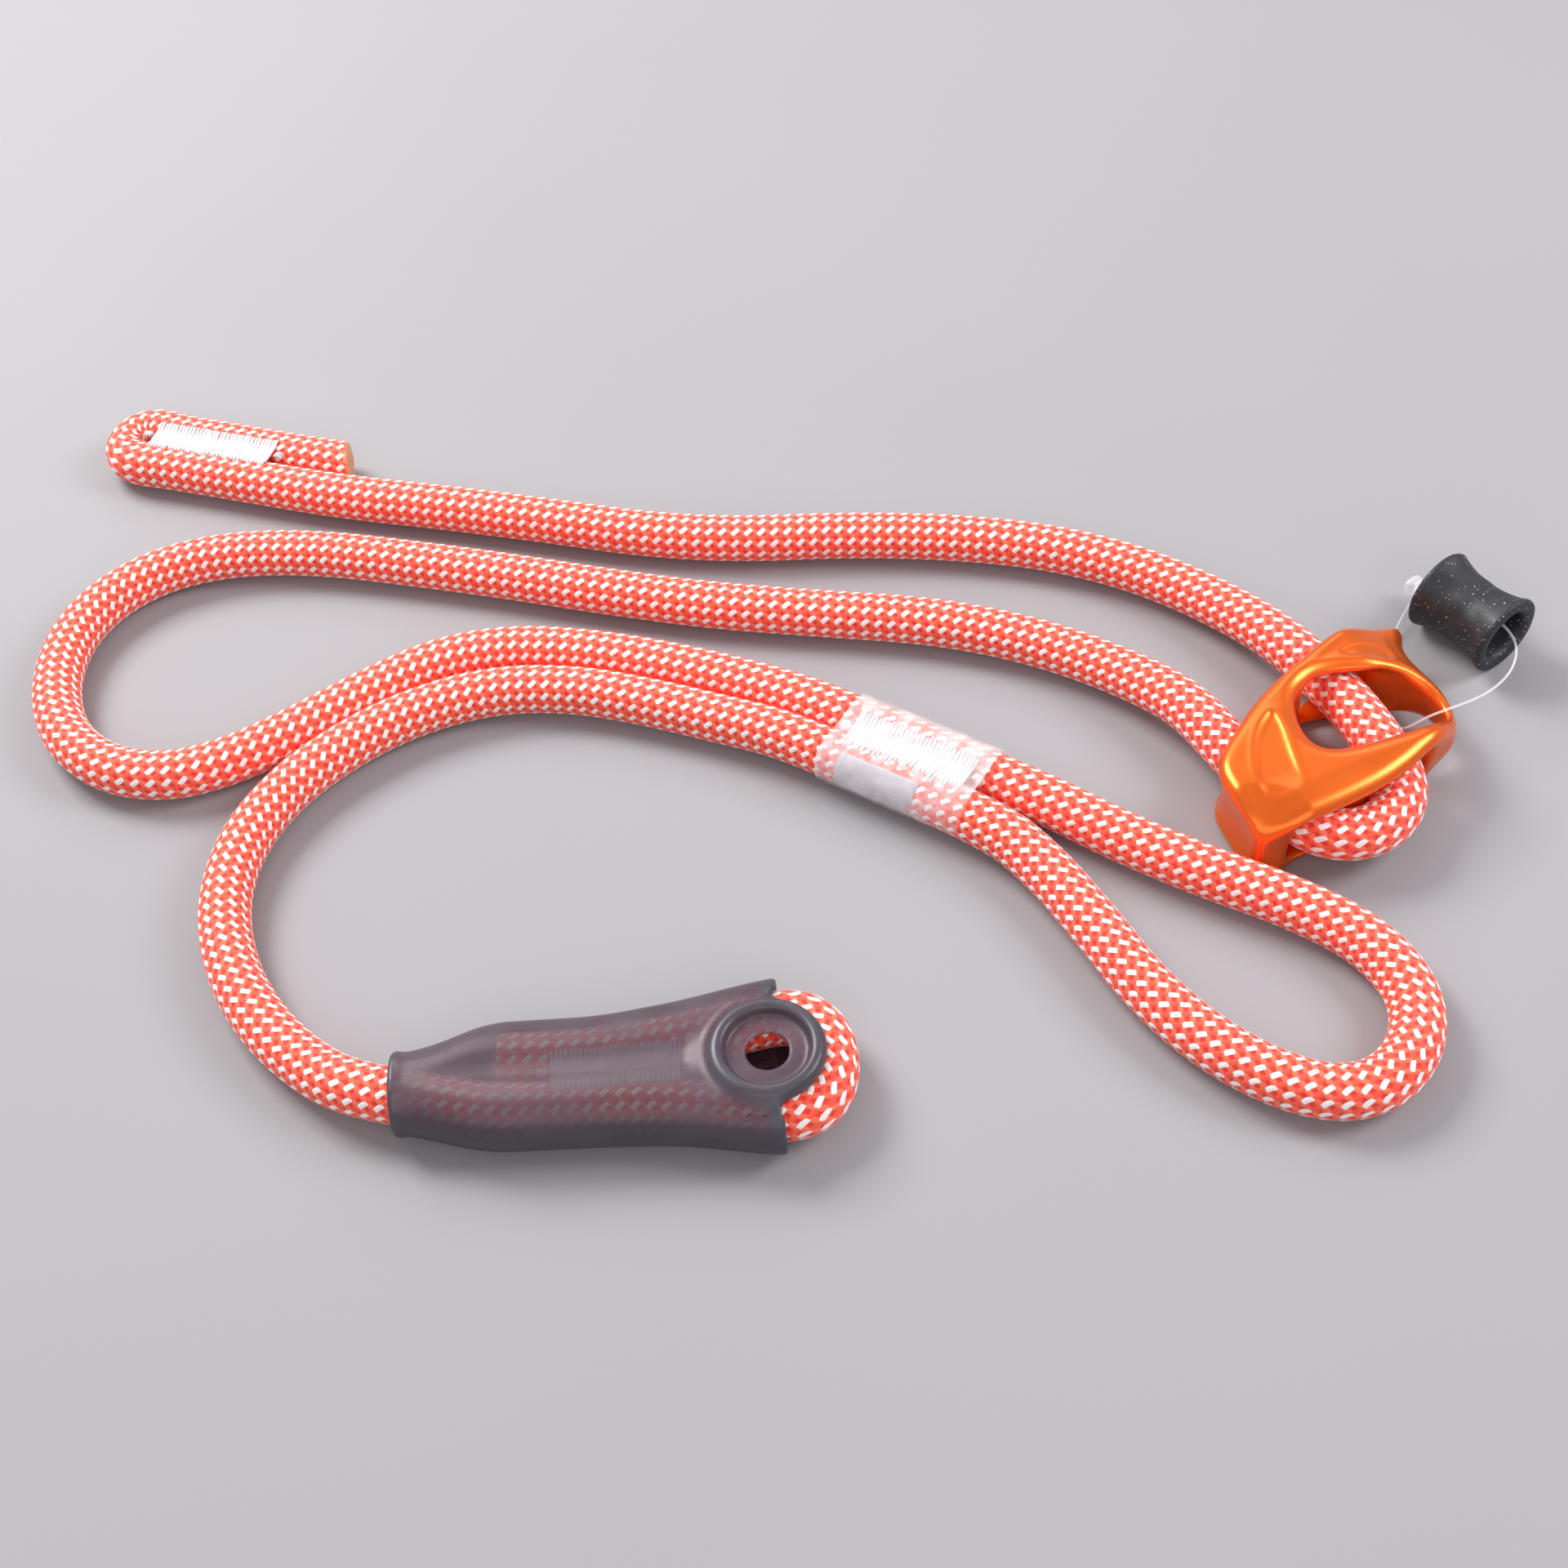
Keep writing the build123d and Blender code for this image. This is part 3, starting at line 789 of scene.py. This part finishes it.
def polygon_distance(x, y, corners):
    """Signed distance to a closed polygon, negative inside."""
    best = np.full(x.shape, 1e9)
    inside = np.zeros(x.shape, dtype=bool)
    for (ax, ay), (bx, by) in zip(corners, corners[1:] + corners[:1]):
        ex, ey = bx - ax, by - ay
        t = np.clip(((x - ax) * ex + (y - ay) * ey) / (ex * ex + ey * ey), 0, 1)
        best = np.minimum(best, np.hypot(x - ax - t * ex, y - ay - t * ey))
        if ay != by:
            inside ^= ((y >= ay) != (y >= by)) & (x < ax + (y - ay) * ex / ey)
    return np.where(inside, -best, best)


def rounded(corners, passes=3):
    """A closed outline with its corners cut again and again, which rounds them."""
    for _ in range(passes):
        cut = []
        for a, b in zip(corners, corners[1:] + corners[:1]):
            cut.append(tuple(0.75 * p + 0.25 * q for p, q in zip(a, b)))
            cut.append(tuple(0.25 * p + 0.75 * q for p, q in zip(a, b)))
        corners = cut
    return corners


def surface_of(field, low, step):
    """Quads over the zero level of a field on a grid, one point per crossed cell."""
    inside = field < 0
    shape = np.array(field.shape) - 1
    total = np.zeros((*shape, 3))
    hits = np.zeros(tuple(shape))
    corners = [(i, j, k) for i in (0, 1) for j in (0, 1) for k in (0, 1)]

    def window(item, corner):
        return item[tuple(slice(c, c + size) for c, size in zip(corner, shape))]

    for a in corners:
        for axis in range(3):
            if a[axis]:
                continue
            b = tuple(1 if k == axis else a[k] for k in range(3))
            fa, fb = window(field, a), window(field, b)
            crossed = window(inside, a) != window(inside, b)
            t = np.where(crossed, fa / np.where(crossed, fa - fb, 1), 0)
            place = np.zeros((*shape, 3))
            for k in range(3):
                place[..., k] = a[k] + (t if k == axis else 0)
            total += np.where(crossed[..., None], place, 0)
            hits += crossed
    used = hits > 0
    index = np.full(tuple(shape), -1)
    index[used] = np.arange(used.sum())
    cell = np.stack(np.nonzero(used), 1)
    verts = np.array(low) + step * (cell + total[used] / hits[used][:, None])
    faces = []
    for axis in range(3):
        j, k = [d for d in range(3) if d != axis]
        first = [slice(None)] * 3
        second = [slice(None)] * 3
        first[axis], second[axis] = slice(0, -1), slice(1, None)
        crossed = inside[tuple(first)] != inside[tuple(second)]
        where = np.stack(np.nonzero(crossed), 1)
        where = where[(where[:, j] > 0) & (where[:, k] > 0)]
        where = where[(where[:, j] < shape[j]) & (where[:, k] < shape[k])]
        quad = []
        for dj, dk in ((1, 1), (0, 1), (0, 0), (1, 0)):
            spot = where.copy()
            spot[:, j] -= dj
            spot[:, k] -= dk
            quad.append(index[tuple(spot.T)])
        quad = np.stack(quad, 1)
        out = inside[tuple(where.T)]
        if axis == 1:
            out = ~out
        quad[~out] = quad[~out][:, ::-1]
        faces.append(quad)
    return verts, np.concatenate(faces)


def relax(verts, faces, passes):
    """Smooths a surface: each point moves towards the middle of its neighbours, then back."""
    pairs = np.concatenate([faces[:, [k, (k + 1) % 4]] for k in range(4)])
    pairs = np.concatenate([pairs, pairs[:, ::-1]])
    counts = np.bincount(pairs[:, 0], minlength=len(verts))[:, None]
    for factor in (0.5, -0.52) * passes:
        middle = np.stack([np.bincount(pairs[:, 0], verts[pairs[:, 1], k], len(verts)) for k in range(3)], 1)
        verts = verts + factor * (middle / counts - verts)
    return verts


def grid_of(low, high, step):
    """The x, y and z of a grid of points."""
    axes = [np.arange(a, b + step, step) for a, b in zip(low, high)]
    return np.meshgrid(*axes, indexing="ij")


# ---------------------------------------------------------------- adjuster

# Closed outlines in the adjuster's own axes, in millimetres: the post is at about (0, -1.8), the nose at +x.
OUTLINE = [
    (-26, -10), (-20, -11.4), (-13, -11.7), (-4, -11.6), (4, -11), (12, -9.2), (18.5, -6.8),
    (25, -4.8), (29.6, -2), (32.6, 3.6), (33.6, 9.6), (33, 15.4), (32.8, 20), (33.8, 24),
    (37.2, 28.6), (31.6, 30.4), (26, 31), (19.5, 30.5), (12.2, 28.2), (4.5, 25.4), (-2.9, 22.6),
    (-9.8, 19.2), (-15.5, 15.6), (-21, 12.2), (-24.6, 8), (-25.4, 3), (-25.6, -3),
]
OPENING = [
    (18.5, 17.4), (12, 20), (6.5, 20.6), (2, 18.5), (-0.6, 14.8), (-2.5, 10.2), (-2.9, 5.6),
    (-0.9, 2.4), (3.4, 0.9), (10.6, 0), (17.7, -0.7), (24.8, -0.8), (28.9, 1.4), (30.1, 6.3),
    (29, 11.4), (25, 15),
]
SPINE = [(-6.9, -1.8), (6.9, -1.8), (-1.2, 2.6), (-1.4, 16.5), (6.4, 17), (6.6, 34), (-7.8, 34), (-7.4, 4)]
CORNER_WALL = [(-34, -14), (-15, -14), (-18.2, -8.6), (-19.6, -4), (-21, 3), (-22.2, 12), (-34, 12)]
NOSE_WALL = [(20.8, -12), (40, -12), (40, 40), (22, 40), (22, 20.4), (26, 14), (26, -0.3), (20.8, -0.7)]
FAN = [
    (-5.6, 16.8), (-10.3, 14.6), (-14.5, 10.6), (-17.8, 5.5), (-19.6, 1.3), (-20.2, -3.4),
    (-17.5, -5.6), (-13, -5.4), (-10.8, -3.4), (-9.9, 0.6), (-8.4, 5.6), (-6.4, 11),
]
LENS = [(14.5, 23.4), (19, 25.6), (25.5, 24.6), (28.4, 20.6), (26.6, 16.8), (21.5, 19)]
POST_MIDDLE_Y = -1.8
POST_R = 6.8
BODY_HEIGHT = 18.8
SLOT_FLOOR = 2.9
SLOT_ROOF = 15.1


def adjuster_top(plan_x, plan_y, nose, opening, fan, lens, outline):
    """Height of the upper face: it falls towards the nose and the corner, under a shallow raised fan."""
    corner = np.clip(1 - np.hypot(plan_x + 24.5, plan_y + 9.5) / 11, 0, 1) ** 1.3
    heel = np.clip((-4 - plan_y) / 7, 0, 1) ** 1.5
    top = BODY_HEIGHT - 3.2 * nose - 4.6 * corner - 0.9 * heel * (1 - nose) - 0.0011 * (plan_x + 4) ** 2
    recess = 0.4 * fade(-fan, 0, 1.8) * fade(plan_y, -7, 1) + 0.3 * fade(-lens, 0, 1.4)
    crest = fade(plan_y, -8, 5)
    ridge = 0.22 * crest * np.exp(-((fan - 0.3) / 0.7) ** 2)
    dish = 0.3 * fade(opening, 2.5, 5) * fade(plan_x, 4, 14) * fade(plan_y, 14, 20) * fade(-outline, 2, 4)
    return top - recess + ridge - dish


def adjuster_field(x, y, z):
    """Distance to the forging, negative inside: a rounded block with an opening, hollow between its walls."""
    flat_x, flat_y = x[:, :, 0], y[:, :, 0]
    outline, opening, fan, lens = (
        polygon_distance(flat_x, flat_y, rounded(corners, passes))[..., None]
        for corners, passes in ((OUTLINE, 2), (OPENING, 2), (FAN, 2), (LENS, 3))
    )
    walls = [polygon_distance(flat_x, flat_y, item)[..., None] for item in (SPINE, CORNER_WALL, NOSE_WALL)]
    walls.append((np.hypot(flat_x, flat_y - POST_MIDDLE_Y) - POST_R)[..., None])
    wall = walls[0]
    for item in walls[1:]:
        wall = smooth_min(wall, item, 1.5)
    plan_x, plan_y = flat_x[..., None], flat_y[..., None]
    nose = fade(plan_x, 19, 33)
    left = fade(-plan_x, 14, 21)
    top = adjuster_top(plan_x, plan_y, nose, opening, fan, lens, outline)
    bottom = 0.05 + 2.6 * nose
    bulge = np.clip(1 - ((z - 8.5) / 7) ** 2, 0, 1)
    waist = (1.2 + 0.2 * left * fade(plan_y, -8, 0) - 1.8 * nose) * bulge
    under = (1.4 * (1 - left) * (1 - nose) + 0.4 * left * fade(plan_y, -4, 4)) * fade(9 - z, 0, 7)
    side = outline + waist + under
    body = smooth_max(smooth_max(z - top, bottom - z, 0.5), side, 3.2 + 3.2 * nose)
    slot = smooth_max(z - SLOT_ROOF, SLOT_FLOOR - z, 1.5)
    cavity = smooth_max(slot, -wall, 3.2)
    body = smooth_max(body, -cavity, 1.2)
    flare = 6.4 * np.clip(np.abs(z - 9) / 9 - 0.72, 0, 1) ** 2
    return smooth_max(body, -(opening - flare), 3.4)


def adjuster():
    step = 0.42
    low, high = (-27.5, -13, -1), (39.5, 35, 20.5)
    verts, faces = surface_of(adjuster_field(*grid_of(low, high, step)), low, step)
    verts = relax(verts, faces, 3)
    turn = np.array(Matrix.Rotation(ADJUSTER_ANGLE, 3, "Z"))
    verts = (verts @ turn.T + np.array(ADJUSTER_MIDDLE)) * MM
    return mesh_piece(
        "adjuster_forging", verts, faces.tolist(), ANODISED, "adjuster", ["adjuster_body"]
    )


adjuster()

# ---------------------------------------------------------------- grip sleeve

# Along x: the sleeve's middle line and the distance between the two strands that it covers.
SLEEVE_X = [-80.5, -71.5, -62.5, -40, -24, -14, -5.5, 4]
SLEEVE_Y = [-97.3, -98, -97.4, -98, -97.5, -97.5, -97.5, -97.5]
SLEEVE_SPREAD = [0.6, 4.8, 12.4, 12.6, 15.8, 20.2, 23.4, 25]
SLEEVE_AVERAGED = 5
SLEEVE_START = -80.4
SLEEVE_OUTER_R = 7.3
SLEEVE_INNER_R = 5.75
BOSS_R = 11
RING_R = 9.7
DISH_R = 8.2
HOLE_R = mounts["connector_hole"]["dims"]["r_mm"]
HOLE_X, HOLE_Y, SLEEVE_Z = (c / MM for c in mounts["connector_hole"]["pos_m"])


def eased(x, knots, values):
    """A value read between knots and averaged over a few millimetres each side, so it has no kinks."""
    shifts = np.linspace(-SLEEVE_AVERAGED, SLEEVE_AVERAGED, 9)
    return sum(np.interp(x + shift, knots, values) for shift in shifts) / len(shifts)


def sleeve_field(x, y, z):
    """Distance to the moulding, negative inside: a wall over two strands, with a ringed boss and its hole."""
    middle = eased(x, SLEEVE_X, SLEEVE_Y)
    spread = eased(x, SLEEVE_X, SLEEVE_SPREAD) / 2
    edge = np.abs(y - middle) - spread
    height = z - SLEEVE_Z
    flat = np.abs(height)
    radial = np.hypot(np.maximum(edge, 0), height)
    hole = np.hypot(x - HOLE_X, y - HOLE_Y)
    inward = np.clip(-edge / np.maximum(spread, 1), 0, 1)
    sag = 0.9 * fade(inward, 0.25, 0.9) * fade(x, -74, -60) * (height > 0) * fade(hole, 12, 17)
    mouth = -6 + 1.4 * fade(edge, -3, 5)
    rim = 0.45 * np.exp(-((x - SLEEVE_START - 1) / 1.1) ** 2) * fade(height, -7, -4)
    outer = smooth_max(radial - SLEEVE_OUTER_R + sag - rim, SLEEVE_START - x, 0.9)
    outer = smooth_max(outer, x - mouth, 1.2)
    boss = smooth_max(hole - BOSS_R, flat - 7.2, 1.4)
    shape = smooth_min(outer, boss, 2.6)
    ring = np.hypot(hole - RING_R, (z - 14.4) * 0.9) - 1.75
    shape = smooth_min(shape, ring, 1.1)
    collar_room = 0.85 * fade(-x, 74, 80)
    room = np.minimum(radial - SLEEVE_INNER_R - collar_room, np.maximum(flat - SLEEVE_INNER_R, hole - 14))
    shape = smooth_max(shape, -room, 0.35)
    dish = smooth_max(hole - DISH_R, 14.2 - z, 0.7)
    shape = smooth_max(shape, -dish, 0.8)
    bore = hole - HOLE_R - 0.6 * np.clip((flat - 6.2) / 1.2, 0, 1) ** 2
    shape = smooth_max(shape, -bore, 0.4)
    return smooth_max(shape, -SLEEVE_OUTER_R - height, 0.3)


def wall_thickness(x, y):
    """How thick the moulding is, 0 to 1: most in its ring, collar and mouth, and less along its sides."""
    edge = np.abs(y - eased(x, SLEEVE_X, SLEEVE_Y)) - eased(x, SLEEVE_X, SLEEVE_SPREAD) / 2
    hole = np.hypot(x - HOLE_X, y - HOLE_Y)
    thick = np.exp(-(((hole - 10) / 1.9) ** 2))
    thick = np.maximum(thick, fade(-x, 78, 80))
    thick = np.maximum(thick, fade(x, -9, -6.5) * (hole > 9))
    return np.maximum(thick, 0.8 * fade(edge, 4, 7))


def grip_sleeve():
    step = 0.5
    low, high = (-83, -121, -1), (7, -74, 18.5)
    verts, faces = surface_of(sleeve_field(*grid_of(low, high, step)), low, step)
    verts = relax(verts, faces, 5)
    piece = mesh_piece(
        "sleeve_moulding", verts * MM, faces.tolist(), SLEEVE, "grip", ["grip_sleeve"]
    )
    thick = wall_thickness(verts[:, 0], verts[:, 1])
    add_uv(piece, "wall", thick[corner_verts(piece)], 0.5)
    return piece


grip_sleeve()

# ---------------------------------------------------------------- retainer, nylon loop and lock


SPOOL_MIDDLE = np.array(joints["retainer_spin"]["pos_m"]) / MM
SPOOL_AXIS = np.array(joints["retainer_spin"]["axis"])
SPOOL_SIDE = np.cross([0, 0, 1.0], SPOOL_AXIS)
SPOOL_WAIST_R = 7.7
SPOOL_BORE_R = 5.9
NYLON_R = 0.28
LOCK_MIDDLE = np.array([149.1, 19.2, 4.8])
LOCK_HALF_WIDTH = 2.2
LOCK_HALF_HEIGHT = 2.0


def spool():
    """A waisted tube with rounded rims, turned about its joint's axis, with a few faint lumps."""
    rim = [(9.9, 9.35), (10.2, 8.9), (10.25, 8.1), (10.1, 7.0), (9.7, 6.3), (9.0, 5.95)]
    profile = [(-a, r) for a, r in reversed(rim)]
    profile += [(t * 9.3, SPOOL_WAIST_R + 1.75 * abs(t) ** 2.3) for t in np.linspace(-1, 1, 41)]
    profile += rim
    profile += [(a, SPOOL_BORE_R) for a in np.linspace(8, -8, 9)]
    around = 96
    verts = []
    for along, radius in profile:
        for j in range(around):
            a = 2 * math.pi * j / around
            lump = 0.05 * math.sin(4 * a + along) + 0.04 * math.sin(9 * a - along * 0.7)
            outward = SPOOL_SIDE * math.cos(a) + np.array([0, 0, 1.0]) * math.sin(a)
            verts.append((SPOOL_MIDDLE + SPOOL_AXIS * along + outward * (radius - 0.08 + lump)) * MM)
    faces = turned_over(ring_faces(len(profile), around) + joined_ends(len(profile), around))
    return mesh_piece(
        "retainer_spool", verts, faces, RUBBER, "retainer", ["connector_retainer"]
    )


def nylon_loop():
    line = route_line(NYLON)
    around = 12
    verts, rings = tube(line, NYLON_R * MM, around, 0.5 * MM)
    faces = ring_faces(rings, around, closed_ends=True)
    piece = mesh_piece("nylon_loop", verts, faces, NYLON_LOOK, None, ["tag_loop"])
    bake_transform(piece)
    return piece


def nylon_lock():
    """A small rounded block with a groove round it, in line with the spool."""
    rings = [
        (-2.5, 0.55), (-2.35, 0.85), (-1.8, 1.0), (-0.4, 1.0), (-0.1, 0.8),
        (0.3, 0.8), (0.6, 1.0), (1.9, 1.0), (2.4, 0.8), (2.5, 0.5),
    ]
    around = 32
    verts = []
    for along, scale in rings:
        for j in range(around):
            a = 2 * math.pi * j / around
            c, s = math.cos(a), math.sin(a)
            y = math.copysign(abs(c) ** 0.5, c) * LOCK_HALF_WIDTH * scale
            z = math.copysign(abs(s) ** 0.5, s) * LOCK_HALF_HEIGHT * scale
            verts.append((LOCK_MIDDLE + SPOOL_AXIS * along + SPOOL_SIDE * y + np.array([0, 0, z])) * MM)
    faces = turned_over(ring_faces(len(rings), around, closed_ends=True))
    return mesh_piece("nylon_lock", verts, faces, NYLON_LOOK, "tag", ["tag_lock"])


spool()
nylon_loop()
nylon_lock()

# ---------------------------------------------------------------- table and light


def table_top():
    tree = Tree("pale_card")
    fine = tree.noise(900, 4)
    cloud = tree.noise(4, 2)
    tree.set(
        Base_Color=tree.mix(cloud, srgb(151, 149, 152), srgb(158, 156, 158)),
        Roughness=0.75,
        Specular_IOR_Level=0.3,
    )
    tree.bump(fine, 0.1 * MM, 0.25)
    half = 3.0
    verts = [(-half, -half, 0), (half, -half, 0), (half, half, 0), (-half, half, 0)]
    floor = mesh_piece("table_top", verts, [(0, 1, 2, 3)], tree.material, smooth=False)


def area_light(name, place, aim, size, power, colour):
    """A soft box at a place, turned to its aim."""
    data = bpy.data.lights.new(name, "AREA")
    data.shape = "RECTANGLE"
    data.size, data.size_y = size
    data.energy = power
    data.color = colour
    light = bpy.data.objects.new(name, data)
    bpy.context.collection.objects.link(light)
    light.location = place
    light.rotation_euler = (Vector(aim) - Vector(place)).to_track_quat("-Z", "Y").to_euler()


table_top()
area_light("key", (-0.6, 0.55, 0.8), (-0.02, 0.03, 0), (0.5, 0.5), 14, (1, 0.99, 0.98))
area_light("side", (0.82, 0.02, 0.7), (0, 0, 0), (0.4, 0.5), 6.5, (0.97, 0.97, 1))
area_light("back", (-0.1, 1.3, 1.0), (0, 0.05, 0), (1.6, 0.6), 6, (1, 1, 1))
area_light("front", (0, -0.9, 0.7), (0, 0, 0), (1.4, 0.6), 3.5, (1, 0.98, 0.99))

world = bpy.data.worlds.new("studio")
world.use_nodes = True
background = world.node_tree.nodes["Background"]
background.inputs["Color"].default_value = (0.95, 0.95, 1, 1)
background.inputs["Strength"].default_value = 0.5
bpy.context.scene.world = world
bpy.context.scene.view_settings.view_transform = "Standard"
